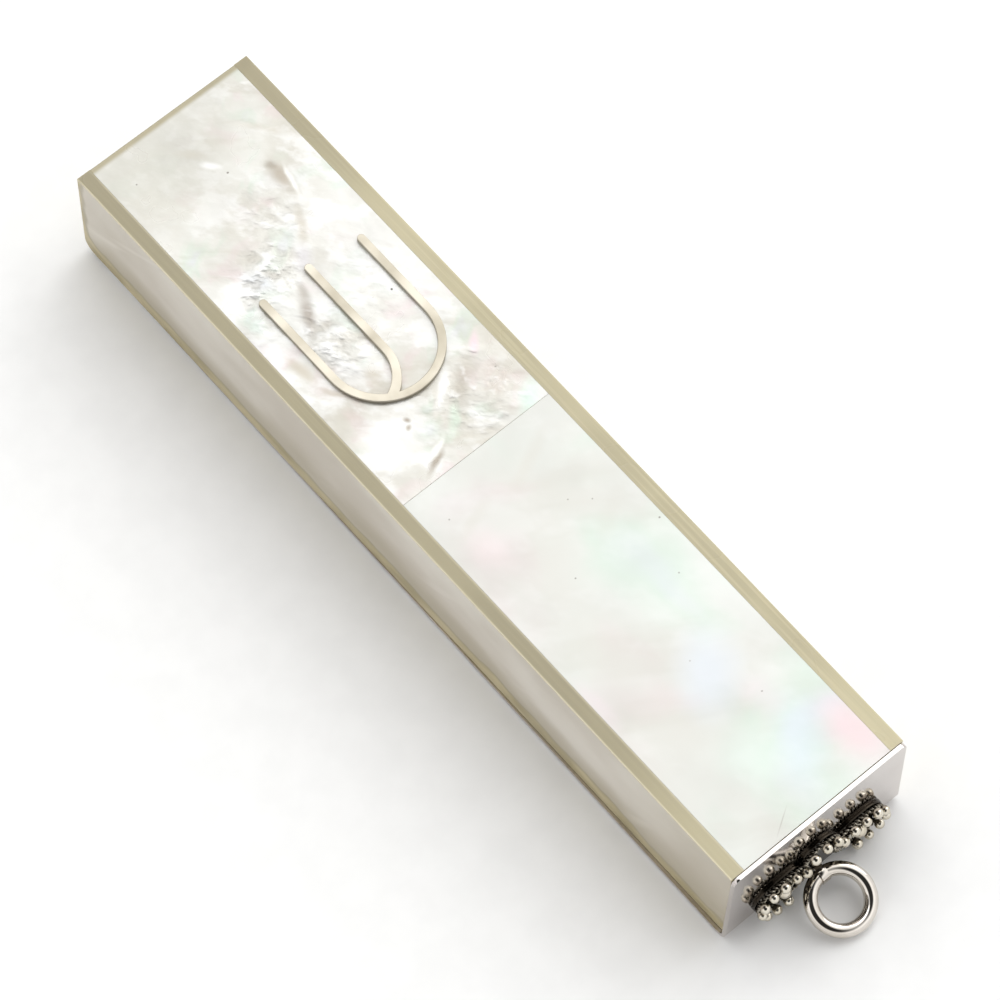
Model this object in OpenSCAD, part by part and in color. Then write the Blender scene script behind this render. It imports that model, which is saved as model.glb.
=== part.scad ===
// Mezuzah case: a mother-of-pearl shell that slides over a silver back plate.
// The case lies on its back. +X is right and +Y is up when it hangs on a doorpost, +Z is
// out of its front. The origin is the middle of the back plate's back face.

/* [Case] */
// Overall length of the box, without the ring
body_l = 100; // [90:1:130]
// Width over the two side slabs
body_w = 22.2; // [21:0.1:26]
// Height from the back plate's back face to the front face
body_h = 14.7; // [13.5:0.1:18]

/* [Mother-of-pearl] */
// Thickness of each side slab
slab_t = 1.65; // [1.4:0.05:1.8]
// Thickness of the two front panels
panel_t = 1.6; // [1.2:0.1:2]
// Thickness of the slab that closes the top end, under the front panel
top_slab_t = 1.1; // [0.8:0.1:2]
// Distance of the front seam above the middle of the case
seam_y = 0.8; // [-5:0.1:5]
// Radius of each side slab's two corners on the back edge
slab_corner_r = 1.5; // [1:0.1:3]

/* [Silver plate] */
// Thickness of the sheet that makes the back and the bottom end
sheet_t = 0.45; // [0.35:0.05:0.7]
// How far the back plate stands out past each side slab
plate_over = 0.4; // [0.1:0.05:0.6]
// Outside radius of the bend between the back and the bottom end
bend_r = 1.2; // [1:0.1:1.5]
// Radius of the nail hole near the top of the back plate
nail_hole_r = 1.3; // [1:0.1:2]
// Distance of the nail hole above the middle of the case
nail_hole_y = 38; // [25:1:40]

/* [Sliding fit] */
// Gap between the shell and the silver plate
slide_gap = 0.08; // [0.05:0.01:0.1]
// Thickness of the liner that the mother-of-pearl is glued to
liner_t = 0.4; // [0.3:0.05:0.5]
// Width of the guide strip along each side of the liner
guide_w = 1.0; // [0.8:0.05:1.2]
// Height of the guide strip
guide_h = 0.7; // [0.5:0.05:0.9]
// Thickness of the runners on the back plate
runner_t = 0.6; // [0.5:0.05:0.8]

/* [Letter shin] */
// Width of the letter's strokes
stroke_w = 0.9; // [0.7:0.05:1.1]
// Height of the letter above the front face
letter_h = 0.45; // [0.2:0.05:0.6]
// Outside radius of the letter's round foot
letter_r = 6.57; // [6.2:0.01:6.8]
// Height of the middle of the round foot above the middle of the case
letter_y = 15.75; // [14:0.05:18]

/* [Ornament] */
// Sideways place of the ornament's middle
ornament_x = 0.4; // [-0.5:0.1:0.5]
// Thickness of the sheet that carries the ornament
ornament_base_t = 0.3; // [0.2:0.05:0.4]
// Thickness of the scroll wires
wire_t = 0.5; // [0.4:0.05:0.5]
// Diameter of the large granules
granule_d = 1.1; // [0.9:0.05:1.15]
// Number of granule places round each lobe
lobe_granules = 12; // [10:1:13]

/* [Ring] */
// Diameter of the ring's wire
ring_wire_d = 1.48; // [1.3:0.02:1.5]
// Radius of the middle line of the ring
ring_r = 3.08; // [2.9:0.02:3.2]
// Depth of the flat that is worn round the inside of the ring
ring_flat = 0.02; // [0.01:0.01:0.05]
// Sideways place of the ring and its bail
ring_x = -0.45; // [-0.5:0.05:0]
// Angle at which the ring droops to the surface that the case lies on
ring_droop = 18; // [14:1:20]
// Radial clearance between the ring's wire and the bail
bail_gap = 0.06; // [0.05:0.01:0.1]

/* [Hidden] */
$fn = 64;

silver = [0.80, 0.79, 0.77];
pearl = [0.93, 0.93, 0.90];
pearl_edge = [0.72, 0.68, 0.55];
spill = 0.5;            // overrun of a cutting shape past the solid it cuts

// Frame of the box
top_y = body_l/2;
end_y = -body_l/2;
shell_y = end_y + sheet_t + slide_gap;
shell_z = sheet_t + slide_gap;
liner_y = end_y + bend_r + slide_gap;
top_slab_y = top_y - top_slab_t;
plate_top_y = top_y - 0.8;
plate_corner_r = 3;
straight_l = 2;         // length of the back above the bend before it narrows
bend_corner_r = bend_r - sheet_t;
inner_w = body_w - 2*slab_t;
panel_z = body_h - panel_t;
plate_w = body_w + 2*plate_over;
plate_top_w = body_w - 0.4;
end_top_w = body_w + 0.1;
end_corner_r = 0.8;

// Rails, on the right-hand side
liner_x = inner_w/2 - liner_t;
guide_x = liner_x - guide_w;
guide_z = sheet_t + 0.1;
guide_top = guide_z + guide_h;
rail_gap = 0.1;
lip_x = liner_x - rail_gap;
web_x = guide_x - rail_gap - runner_t;
lip_z = guide_top + rail_gap;
runner_bottom_y = end_y + 2;
runner_top_y = top_y - 5;

// Letter
stroke_r = stroke_w/2;
letter_x = 0.28;
letter_in_r = letter_r - stroke_w;
left_arm = 11;
right_arm = 10.3;
middle_x = 0.2;
middle_arm = 11.9;
foot_y = letter_y - 0.75;
foot_out_r = 5.67;
foot_in_r = 4.3;

// Ornament, on the outer face of the bottom end
granule_r = granule_d/2;
lobe_x = 4.95;
lobe_z = 3.2;
lobe_r = 2.35;
lobe_half = 0.85;
lobe_path = 2*PI*lobe_r + 4*lobe_half;
wire_top = ornament_base_t + wire_t;
granule_out = wire_top + 0.4;
crest_r = 2.2;
crest_z = 5;
boss_r = 0.75;
coil_r = 1.25;
rim = 0.3;

// Ring and bail: the ring rests with its far side on the surface
ring_wire_r = ring_wire_d/2;
bail_out = 1.7;
bail_y = end_y - bail_out;
bail_z = ring_wire_r + 2*ring_r*sin(ring_droop);
ring_hole_r = ring_r - ring_wire_r + ring_flat;
bail_in_r = ring_wire_r + bail_gap;
bail_thin = 0.13;       // wall of the bail on the side of the ring's hole
bail_r = 1.05;
bail_shift = bail_r - bail_in_r - bail_thin;
bail_w = 0.9;
bail_foot_h = 1.2;

// Two-dimensional outlines

module stadium(half, r) {
    square([2*half, 2*r], center = true);
    for (s = [-1, 1]) translate([s*half, 0]) circle(r = r);
}

module tapered_end_outline() {
    // Wider at the back than at the front, with the two front corners rounded
    difference() {
        polygon([[-plate_w/2, 0], [plate_w/2, 0], [end_top_w/2, body_h], [-end_top_w/2, body_h]]);
        for (s = [-1, 1])
            translate([s*(end_top_w/2 - end_corner_r), body_h - end_corner_r])
                difference() {
                    translate([s > 0 ? 0 : -2*end_corner_r, 0]) square(2*end_corner_r);
                    circle(r = end_corner_r);
                }
    }
}

module bent_sheet_profile() {
    // Side view of the sheet: the back, the round bend and the bottom end
    translate([end_y + bend_r, 0]) square([plate_top_y + spill - end_y - bend_r, sheet_t]);
    translate([end_y, bend_r]) square([sheet_t, body_h - bend_r]);
    translate([end_y + bend_r, bend_r])
        intersection() {
            difference() {
                circle(r = bend_r);
                circle(r = bend_r - sheet_t);
            }
            translate([-bend_r, -bend_r]) square(bend_r);
        }
}

module back_plan() {
    // Plan of the back: as wide as the bend at the bottom, narrower and rounded at the top
    half_low = plate_w/2;
    half_top = plate_top_w/2;
    bend_y = end_y + bend_r;
    corner_y = plate_top_y - plate_corner_r;
    polygon([[-half_low, bend_y], [half_low, bend_y], [half_low, bend_y + straight_l],
             [half_top, corner_y], [-half_top, corner_y], [-half_low, bend_y + straight_l]]);
    translate([-half_top + plate_corner_r, corner_y - plate_corner_r])
        square([2*(half_top - plate_corner_r), 2*plate_corner_r]);
    for (s = [-1, 1])
        translate([s*(half_top - plate_corner_r), corner_y]) circle(r = plate_corner_r);
}

module slab_outline() {
    // Side view of a side slab: a tight corner over the bend, a rounder one at the top end
    translate([shell_y, shell_z + slab_corner_r])
        square([top_y - shell_y, body_h - shell_z - slab_corner_r]);
    translate([shell_y, shell_z + bend_corner_r]) square([2*slab_corner_r, slab_corner_r]);
    translate([shell_y + bend_corner_r, shell_z])
        square([top_y - shell_y - bend_corner_r - slab_corner_r, slab_corner_r + spill]);
    translate([shell_y + bend_corner_r, shell_z + bend_corner_r]) circle(r = bend_corner_r);
    translate([top_y - slab_corner_r, shell_z + slab_corner_r]) circle(r = slab_corner_r);
}

module lobe_place(side) {
    translate([ornament_x + side*lobe_x, lobe_z]) children();
}

module round_foot() {
    difference() {
        circle(r = letter_r);
        circle(r = letter_in_r);
        translate([-letter_r - spill, 0]) square([2*letter_r + 2*spill, letter_r + spill]);
    }
}

module stem(length) {
    translate([-stroke_r, 0]) square([stroke_w, length]);
    translate([0, length]) circle(r = stroke_r);
}

module middle_foot() {
    // Leaves the middle stem and widens until it meets the round foot
    middle_out_x = middle_x + stroke_r;
    middle_in_x = middle_x - stroke_r;
    intersection() {
        difference() {
            translate([middle_out_x - foot_out_r, foot_y]) circle(r = foot_out_r);
            translate([middle_in_x - foot_in_r, foot_y]) circle(r = foot_in_r);
        }
        translate([-3.2, foot_y - foot_out_r]) square([2*foot_out_r, foot_out_r]);
        translate([letter_x, letter_y]) circle(r = letter_in_r + stroke_r);
    }
}

module shin_outline() {
    translate([letter_x, letter_y]) {
        round_foot();
        translate([-letter_in_r - stroke_r, 0]) stem(left_arm);
        translate([letter_in_r + stroke_r, 0]) stem(right_arm);
    }
    translate([middle_x, foot_y]) stem(middle_arm);
    middle_foot();
}

// Extrusions along the case's own directions

module across(width) {
    // A side view, spread evenly over a width
    translate([-width/2, 0, 0]) rotate([90, 0, 90]) linear_extrude(width) children();
}

module along(y_low, y_high) {
    // An end view, between two heights
    translate([0, y_high, 0]) rotate([90, 0, 0]) linear_extrude(y_high - y_low) children();
}

module on_end(from, to) {
    // An end view that stands on the bottom end's outer face
    translate([0, end_y - from, 0]) rotate([90, 0, 0]) linear_extrude(to - from) children();
}

// Silver back: the sheet and its runners

module back_and_end_plate() {
    color(silver)
    difference() {
        intersection() {
            across(plate_w) bent_sheet_profile();
            union() {
                along(end_y, end_y + bend_r + spill) tapered_end_outline();
                linear_extrude(sheet_t) back_plan();
            }
        }
        translate([0, nail_hole_y, -spill]) cylinder(r = nail_hole_r, h = sheet_t + 2*spill);
    }
}

module runner() {
    // Web and outward lip, which hooks over the liner's guide strip
    along(runner_bottom_y, runner_top_y) {
        translate([web_x, sheet_t]) square([runner_t, lip_z + runner_t - sheet_t]);
        translate([web_x, lip_z]) square([lip_x - web_x, runner_t]);
    }
}

module left_runner() {
    color(silver) mirror([1, 0, 0]) runner();
}

module right_runner() {
    color(silver) runner();
}

// Ornament

module ornament_base() {
    color(silver)
    on_end(0, ornament_base_t) {
        for (side = [-1, 1]) lobe_place(side) stadium(lobe_half, lobe_r + rim);
        translate([ornament_x, crest_z]) circle(r = crest_r + rim);
        translate([ornament_x - lobe_x, lobe_z - lobe_r - rim])
            square([2*lobe_x, lobe_r + rim]);
    }
}

module scroll_wire(side) {
    on_end(ornament_base_t, wire_top)
    lobe_place(side) {
        difference() {
            stadium(lobe_half, lobe_r + wire_t/2);
            stadium(lobe_half, lobe_r - wire_t/2);
        }
        difference() {
            circle(r = coil_r + wire_t/2);
            circle(r = coil_r - wire_t/2);
        }
    }
}

module left_scroll_wire() {
    color(silver) scroll_wire(-1);
}

module right_scroll_wire() {
    color(silver) scroll_wire(1);
}

module crest_wire() {
    color(silver)
    on_end(ornament_base_t, wire_top)
    difference() {
        translate([ornament_x, crest_z])
            difference() {
                circle(r = crest_r + wire_t/2);
                circle(r = crest_r - wire_t/2);
                translate([-crest_r - 1, -crest_r - 1]) square([2*crest_r + 2, crest_r + 1]);
            }
        for (side = [-1, 1]) lobe_place(side) stadium(lobe_half, lobe_r + wire_t/2);
    }
}

module granule(x, z, r = granule_r) {
    // A ball with a flat seat on top of a wire
    difference() {
        translate([x, end_y - granule_out, z]) sphere(r = r);
        translate([x - 1, end_y - wire_top, z - 1]) cube([2, 2, 2]);
    }
}

function lobe_point(s) =
    // Place at the distance s along a lobe's outline, from the middle of its inner end
    let (quarter = PI*lobe_r/2, straight = 2*lobe_half)
    s < quarter
        ? [-lobe_half - lobe_r*cos(s/lobe_r*180/PI), lobe_r*sin(s/lobe_r*180/PI)]
    : s < quarter + straight
        ? [s - quarter - lobe_half, lobe_r]
    : s < 3*quarter + straight
        ? [lobe_half + lobe_r*sin((s - quarter - straight)/lobe_r*180/PI),
           lobe_r*cos((s - quarter - straight)/lobe_r*180/PI)]
    : s < 3*quarter + 2*straight
        ? [lobe_half - (s - 3*quarter - straight), -lobe_r]
    : [-lobe_half - lobe_r*sin((s - 3*quarter - 2*straight)/lobe_r*180/PI),
       -lobe_r*cos((s - 3*quarter - 2*straight)/lobe_r*180/PI)];

module lobe_granules_on(side) {
    // The places nearest the ring stay empty, so that it can swing
    for (i = [1 : lobe_granules - 3]) {
        p = lobe_point((i + 0.25)*lobe_path/lobe_granules);
        granule(ornament_x + side*(lobe_x + p[0]), lobe_z + p[1]);
    }
}

module left_granules() {
    color(silver) lobe_granules_on(-1);
}

module right_granules() {
    color(silver) lobe_granules_on(1);
}

module crest_granules() {
    color(silver)
    for (a = [48, 90, 132])
        granule(ornament_x + crest_r*cos(a), crest_z + crest_r*sin(a));
}

module scroll_bosses() {
    color(silver)
    for (side = [-1, 1])
        difference() {
            translate([ornament_x + side*lobe_x, end_y - wire_top, lobe_z]) sphere(r = boss_r);
            translate([ornament_x + side*lobe_x - 1, end_y - ornament_base_t, lobe_z - 1])
                cube([2, 2, 2]);
        }
}

// Ring and the bail that it swings in

module ring_bail() {
    color(silver)
    difference() {
        translate([ring_x - bail_w/2, bail_y, bail_z]) {
            rotate([ring_droop, 0, 0]) translate([0, bail_shift, 0])
                rotate([0, 90, 0]) cylinder(r = bail_r, h = bail_w);
            translate([0, 0, -bail_foot_h/2])
                cube([bail_w, bail_out - ornament_base_t, bail_foot_h]);
        }
        translate([ring_x - bail_w, bail_y, bail_z])
            rotate([0, 90, 0]) cylinder(r = bail_in_r, h = 2*bail_w);
    }
}

module hanging_ring() {
    color(silver)
    translate([ring_x, bail_y, bail_z])
    rotate([ring_droop, 0, 0])
    translate([0, -ring_r, 0])
    difference() {
        rotate_extrude() translate([ring_r, 0]) circle(r = ring_wire_r);
        cylinder(r = ring_hole_r, h = 2*ring_wire_d, center = true);
    }
}

// Shell: the liner, its guide strips and the mother-of-pearl

module liner() {
    color(silver)
    along(liner_y, top_slab_y)
    difference() {
        translate([-inner_w/2, shell_z]) square([inner_w, panel_z - shell_z]);
        translate([-liner_x, shell_z - spill])
            square([2*liner_x, panel_z - liner_t - shell_z + spill]);
    }
}

module guide() {
    along(liner_y, top_slab_y) translate([guide_x, guide_z]) square([guide_w, guide_h]);
}

module left_guide() {
    color(silver) mirror([1, 0, 0]) guide();
}

module right_guide() {
    color(silver) guide();
}

module front_panel(y_low, y_high) {
    translate([-inner_w/2, y_low, panel_z]) cube([inner_w, y_high - y_low, panel_t]);
}

module upper_front_panel() {
    color(pearl) front_panel(seam_y, top_y);
}

module lower_front_panel() {
    color(pearl) front_panel(shell_y, seam_y);
}

module side_slab(side) {
    translate([side*(body_w - slab_t)/2, 0, 0]) across(slab_t) slab_outline();
}

module left_side_slab() {
    color(pearl_edge) side_slab(-1);
}

module right_side_slab() {
    color(pearl_edge) side_slab(1);
}

module top_end_slab() {
    color(pearl_edge)
    translate([-inner_w/2, top_slab_y, shell_z]) cube([inner_w, top_slab_t, panel_z - shell_z]);
}

module shin_letter() {
    color(silver) translate([0, 0, body_h]) linear_extrude(letter_h) shin_outline();
}

back_and_end_plate();
left_runner();
right_runner();
ornament_base();
left_scroll_wire();
right_scroll_wire();
crest_wire();
left_granules();
right_granules();
crest_granules();
scroll_bosses();
ring_bail();
hanging_ring();
liner();
left_guide();
right_guide();
upper_front_panel();
lower_front_panel();
left_side_slab();
right_side_slab();
top_end_slab();
shin_letter();
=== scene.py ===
import math

import bmesh
import bpy
from mathutils import Matrix, Vector


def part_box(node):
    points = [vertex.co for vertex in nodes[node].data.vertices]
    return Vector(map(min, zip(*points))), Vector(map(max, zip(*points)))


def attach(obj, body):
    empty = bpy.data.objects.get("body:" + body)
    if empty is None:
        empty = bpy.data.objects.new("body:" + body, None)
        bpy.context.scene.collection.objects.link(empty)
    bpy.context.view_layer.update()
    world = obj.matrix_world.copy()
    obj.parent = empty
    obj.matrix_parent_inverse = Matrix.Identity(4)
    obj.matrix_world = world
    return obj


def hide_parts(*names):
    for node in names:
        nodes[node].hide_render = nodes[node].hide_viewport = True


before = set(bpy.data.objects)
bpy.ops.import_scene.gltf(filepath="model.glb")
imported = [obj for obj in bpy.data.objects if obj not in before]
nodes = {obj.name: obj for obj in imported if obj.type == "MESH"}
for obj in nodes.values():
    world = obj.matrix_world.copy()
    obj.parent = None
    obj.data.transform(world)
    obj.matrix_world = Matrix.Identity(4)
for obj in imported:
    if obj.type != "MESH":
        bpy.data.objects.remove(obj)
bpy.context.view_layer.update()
mm = 0.001
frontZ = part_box("upper_front_panel")[1].z
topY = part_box("upper_front_panel")[1].y
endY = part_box("back_and_end_plate")[0].y
print("frame loaded:", len(nodes), "nodes")


def linear(colour):
    # an sRGB hex colour as the linear values that the nodes work in
    values = [int(colour[i:i + 2], 16) / 255 for i in (1, 3, 5)]
    return [v / 12.92 if v < 0.04045 else ((v + 0.055) / 1.055) ** 2.4 for v in values] + [1.0]


def add(tree, kind, settings=None, inputs=None):
    # one node: settings are its own fields, inputs are values, hex colours or sockets to link
    node = tree.nodes.new(kind)
    for name, value in (settings or {}).items():
        if name == "ramp":
            stops = node.color_ramp.elements
            while len(stops) < len(value):
                stops.new(0.5)
            for stop, (place, colour) in zip(stops, value):
                stop.position = place
                stop.color = linear(colour)
        else:
            setattr(node, name, value)
    for name, value in (inputs or {}).items():
        if isinstance(value, bpy.types.NodeSocket):
            tree.links.new(value, node.inputs[name])
        elif isinstance(value, str) and value.startswith("#"):
            node.inputs[name].default_value = linear(value)
        else:
            node.inputs[name].default_value = value
    return node


def newMaterial(name):
    material = bpy.data.materials.new(name)
    material.use_nodes = True
    tree = material.node_tree
    tree.nodes.clear()
    coords = add(tree, "ShaderNodeTexCoord").outputs["Object"]
    return material, tree, coords


def shade(tree, inputs):
    surface = add(tree, "ShaderNodeBsdfPrincipled", {}, inputs)
    add(tree, "ShaderNodeOutputMaterial", {}, {"Surface": surface.outputs[0]})


def blendColours(tree, factor, low, high, mode="MIX"):
    # inputs 0, 6 and 7 are the factor and the two colours, output 2 the mixed one
    mixed = add(tree, "ShaderNodeMix", {"data_type": "RGBA", "blend_type": mode},
                {0: factor, 6: low, 7: high})
    return mixed.outputs[2]


def ranged(tree, value, low, high, toLow=0.0, toHigh=1.0):
    # value eased from toLow at low to toHigh at high
    eased = add(tree, "ShaderNodeMapRange", {"interpolation_type": "SMOOTHSTEP"},
                {"Value": value, "From Min": low, "From Max": high,
                 "To Min": toLow, "To Max": toHigh})
    return eased.outputs["Result"]


def calc(tree, operation, first, second=0.0):
    return add(tree, "ShaderNodeMath", {"operation": operation}, {0: first, 1: second}).outputs[0]


def cloud(tree, coords, size, detail=3.0, roughness=0.5, stretch=(1, 1, 1), turn=0.0,
          distortion=0.0):
    # noise whose blotches are about size millimetres across, drawn out by stretch along x, y, z;
    # nearly all of it lies between 0.3 and 0.7, so blends of a cloud ease within those values
    placed = add(tree, "ShaderNodeMapping", {"vector_type": "TEXTURE"},
                 {"Vector": coords, "Rotation": (0, 0, math.radians(turn)), "Scale": stretch})
    noise = add(tree, "ShaderNodeTexNoise", {},
                {"Vector": placed.outputs[0], "Scale": 0.5 / (size * mm), "Detail": detail,
                 "Roughness": roughness, "Distortion": distortion})
    return noise.outputs["Fac"]


pitSize = 0.2    # a mark shorter than this, in millimetres, is a pit


def patch(tree, coords, x, y, wide, long, turn, amount):
    # amount in the middle of an ellipse on the front, eased to 0 at its rim; a pit is crisper
    soft = 0.5 if long < pitSize else 0.9
    turned = add(tree, "ShaderNodeMapping", {"vector_type": "TEXTURE"},
                 {"Vector": coords, "Location": (x * mm, y * mm, frontZ),
                  "Rotation": (0, 0, math.radians(turn)), "Scale": (wide * mm, long * mm, 1.0)})
    reach = add(tree, "ShaderNodeVectorMath", {"operation": "LENGTH"}, {0: turned.outputs[0]})
    return ranged(tree, reach.outputs["Value"], 1.0, 1.0 - soft, 0.0, amount)


# The sawn edge of a pearl slab: khaki, horn-like, with fine lines along the slab and a wet polish.
# A fade is painted shade (to the left and at the far end) or painted light (to the right and at
# the near end): an axis, where it starts and is full in millimetres, how strong it is and its
# tone.
slabEdgeLook = {
    # the arris tone is the colour of the painted highlights along the edges
    "tone": "#B2A886", "light": "#C6BC96", "dark": "#8A805E", "edgeHighlight": "#D6CDB0",
    "lineWidth": 0.18, "lineLength": 9.0, "broadSize": 5.0,
    "paintedFades": [("X", 6, -9, 0.7, "dark"), ("X", 0, 9, 0.4, "light"),
              ("Y", 15, 50, 0.75, "dark"), ("Y", -32, -48, 0.5, "light")],
    "arrisFrom": 0.22, "arrisTo": 0.06, "jointFrom": 0.25, "jointTo": 0.05,
    "cornerFrom": 8.4, "cornerTo": 6.6, "cornerSlope": -0.6,
    "bump": 0.05,
}

# Mother-of-pearl, sawn and polished flat: a glassy top over layers that tip and fold, so light
# moves under the polish while the surface itself stays smooth. A mark is x, y, half width, half
# length, turn, strength and colour, and a fold is the same without a colour; in millimetres.
figuredLook = {
    "white": "#EFEFEB", "cream": "#D8D4C9", "body": "#DBDBDA", "cloudSize": 7.0,
    # size and strength of the white patches of painted sheen
    "paintedSheenSize": 1.7, "paintedSheen": 0.55,
    "tints": [(0.32, "#F8E0E8"), (0.43, "#F5F3F0"), (0.57, "#F5F5F2"), (0.66, "#DDF3E4"),
              (0.76, "#DFE8F9")],
    "tintSize": 2.4, "tintAmount": 0.48,
    "layerTurn": 52, "layerStep": 3.0, "layerColour": "#CCC5B6", "layerAmount": 0.5,
    "reliefSize": 2.4, "relief": 1.0, "fray": 1.2, "metallic": 0.38, "rough": (0.26, 0.38),
    # the valley tone is painted shade for the wrinkles' valleys
    "wrinkleSize": 0.66, "wrinkleTurn": 35, "wrinkleDepth": 1.35, "valleyShade": "#B4AEA2",
    "wrinkleEverywhere": 0.12,
    "marks": [
        # painted shade for a dimmer reflection: greyer cream at the far end; whiter round the
        # letter
        (-3, 48, 16, 14, 0, 0.85, "#CBC9BF"),
        (-6, 44, 7, 9, 0, 0.35, "#D6D5CB"),
        (1, 26, 10, 12, 0, 0.35, "#F8F8F5"),
        (7, 27, 5, 12, 0, 0.35, "#FBFBFA"),
        (-6, 7, 6, 5, 0, 0.7, "#FBFBF8"),
        # the hollow in painted shade, its bright rim a painted highlight, and the vein below it
        (7.2, 42.2, 0.8, 4.6, 42, 0.32, "#C9BFAA"),
        (0.2, 42.5, 0.6, 1.5, 44, 0.8, "#FFFFFF"),
        (-0.5, 44.7, 0.9, 2.2, 44, 0.4, "#C5BDAB"),
        (4.8, 36.9, 1.3, 3.3, -2, 0.85, "#B0A38F"),
        (4.8, 38.6, 0.7, 1.0, 0, 0.55, "#908573"),
        (5.3, 35.9, 0.42, 2.7, -12, 0.95, "#FFFFFB"),
        (2.7, 31.2, 0.8, 4.2, -33, 0.55, "#C0B5A1"),
        (1.2, 31.0, 0.9, 2.4, -40, 0.4, "#C6CCC8"),
        # shadowed folds between and beside the prongs
        (-3.1, 23.1, 1.2, 3.9, -32, 0.9, "#ABA094"),
        (-1.7, 25.2, 0.9, 1.2, 0, 0.55, "#A09588"),
        (-2.8, 21.0, 1.4, 1.0, 0, 0.5, "#C0B5A7"),
        (-7.7, 18.8, 0.9, 2.8, 4, 0.6, "#C6B8A0"),
        (-2.6, 13.5, 1.2, 2.3, -20, 0.55, "#C6BBA8"),
        (-6.9, 14.6, 0.5, 1.9, 30, 0.5, "#BFAE96"),
        # brown spots below the letter, then the slanting bands by the seam
        (-3.2, 7.7, 0.45, 0.65, 30, 0.85, "#9C8C78"),
        (-3.6, 6.9, 0.55, 0.45, 0, 0.75, "#A5957F"),
        (3.8, 7.3, 1.4, 4.4, -52, 0.75, "#B6AD9E"),
        (6.7, 5.2, 2.2, 4.8, -50, 0.5, "#C9C2B5"),
        (1.9, 8.2, 0.8, 3.6, -50, 0.75, "#FFFFFF"),
        (0.6, 4.9, 0.9, 2.8, -50, 0.65, "#D9F2DE"),
        (7.6, 1.6, 1.6, 3.6, -50, 0.6, "#D0EEDF"),
        (7.6, 9.9, 0.7, 2.0, -42, 0.65, "#F8D9E6"),
        (-3.9, 2.4, 0.6, 2.5, -64, 0.85, "#9F917C"),
        (-2.9, 3.4, 0.5, 2.4, -64, 0.95, "#FFFFFA"),
        # faint green, blue and violet beside the prongs
        (-7.8, 25.5, 1.6, 2.2, 0, 0.4, "#DDF0E8"),
        (-4.6, 29.0, 1.4, 2.6, 20, 0.4, "#DDE6F3"),
        (0.5, 28.2, 1.5, 2.5, -30, 0.35, "#E6E2F4"),
        # pits
        (5.1, 19.8, 0.16, 0.16, 0, 0.95, "#3F3A33"),
        (1.0, 40.7, 0.17, 0.14, 0, 0.8, "#6A6258"),
        (-6.9, 45.6, 0.13, 0.13, 0, 0.8, "#7A7266"),
        (7.4, 6.5, 0.14, 0.12, 0, 0.7, "#6F675C"),
    ],
    "folds": [
        # where the layers dip and wrinkle under the polish
        (-3.2, 29.3, 5.6, 5.0, 0, 0.85),
        (-3.2, 19.5, 4.0, 6.5, 0, 0.9),
        (-6.8, 26.0, 3.6, 4.0, 0, 0.5),
        (1.5, 34.0, 6.0, 7.0, 0, 0.45),
        (4.0, 22.0, 5.0, 9.0, 0, 0.25),
        (3.5, 6.0, 8.0, 7.0, 0, 0.5),
    ],
}
plainLook = {
    "white": "#F0F2EE", "cream": "#E6E5DF", "body": "#DEDEDD", "cloudSize": 9.0,
    # size and strength of the white patches of painted sheen
    "paintedSheenSize": 4.5, "paintedSheen": 0.2,
    "tints": [(0.28, "#F7E6EC"), (0.42, "#F3F2F0"), (0.54, "#F2F4F1"), (0.64, "#E2F3E8"),
              (0.78, "#E4ECF8")],
    "tintSize": 8.0, "tintAmount": 0.7,
    "layerTurn": 60, "layerStep": 6.0, "layerColour": "#DAD8CF", "layerAmount": 0.32,
    "reliefSize": 4.0, "relief": 0.25, "fray": 1.5, "metallic": 0.26, "rough": (0.30, 0.42),
    "marks": [
        # pink at one corner, then soft pinks, blues and greens
        (8.4, -45.5, 4.2, 6.0, 0, 0.7, "#FFDDE4"),
        (-6.0, -8.5, 2.6, 4.2, 0, 0.45, "#F6E4E6"),
        (-9.0, -28, 1.6, 5.0, 0, 0.4, "#F6E3EA"),
        (1.5, -32, 4.5, 7.0, -35, 0.5, "#E0EAF9"),
        (3.5, -43, 3.5, 7.0, -30, 0.5, "#E2F1FB"),
        (-1.0, -41, 5.0, 5.0, 0, 0.5, "#DFF2E6"),
        (4.0, -37, 2.5, 3.5, 0, 0.35, "#F7E7F0"),
        # slanting bands by the seam
        (3.0, -3.6, 1.2, 6.0, -65, 0.4, "#DCD8CE"),
        (-5.0, -5.0, 1.0, 4.0, -70, 0.35, "#DEDAD0"),
        (5.5, -13.0, 1.4, 5.0, -60, 0.25, "#DEDCD2"),
        # pits, and last a scratch
        (8.9, -16.5, 0.14, 0.14, 0, 0.8, "#7D766C"),
        (6.4, -22.2, 0.13, 0.13, 0, 0.6, "#8D867C"),
        (3.3, -9.2, 0.12, 0.12, 0, 0.6, "#8D867C"),
        (-1.7, -16.1, 0.13, 0.13, 0, 0.7, "#7D766C"),
        (5.2, -10.7, 0.12, 0.12, 0, 0.6, "#8D867C"),
        (1.0, -29.9, 0.12, 0.12, 0, 0.5, "#9A948A"),
        (4.2, -36.8, 0.15, 0.13, 0, 0.6, "#8D867C"),
        (-7.0, -3.3, 0.13, 0.13, 0, 0.6, "#8D867C"),
        (-3.4, -48.1, 0.10, 2.3, -58, 0.6, "#B4AFA6"),
    ],
    "folds": [],
}
frayedFrom = 0.3     # a mark narrower than this keeps its clean outline, in millimetres
frayScale = 260.0    # noise per metre, so an outline strays every 4 mm or so
wornFrom, wornTo = 0.95, 0.35    # millimetres from the far edge


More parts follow.
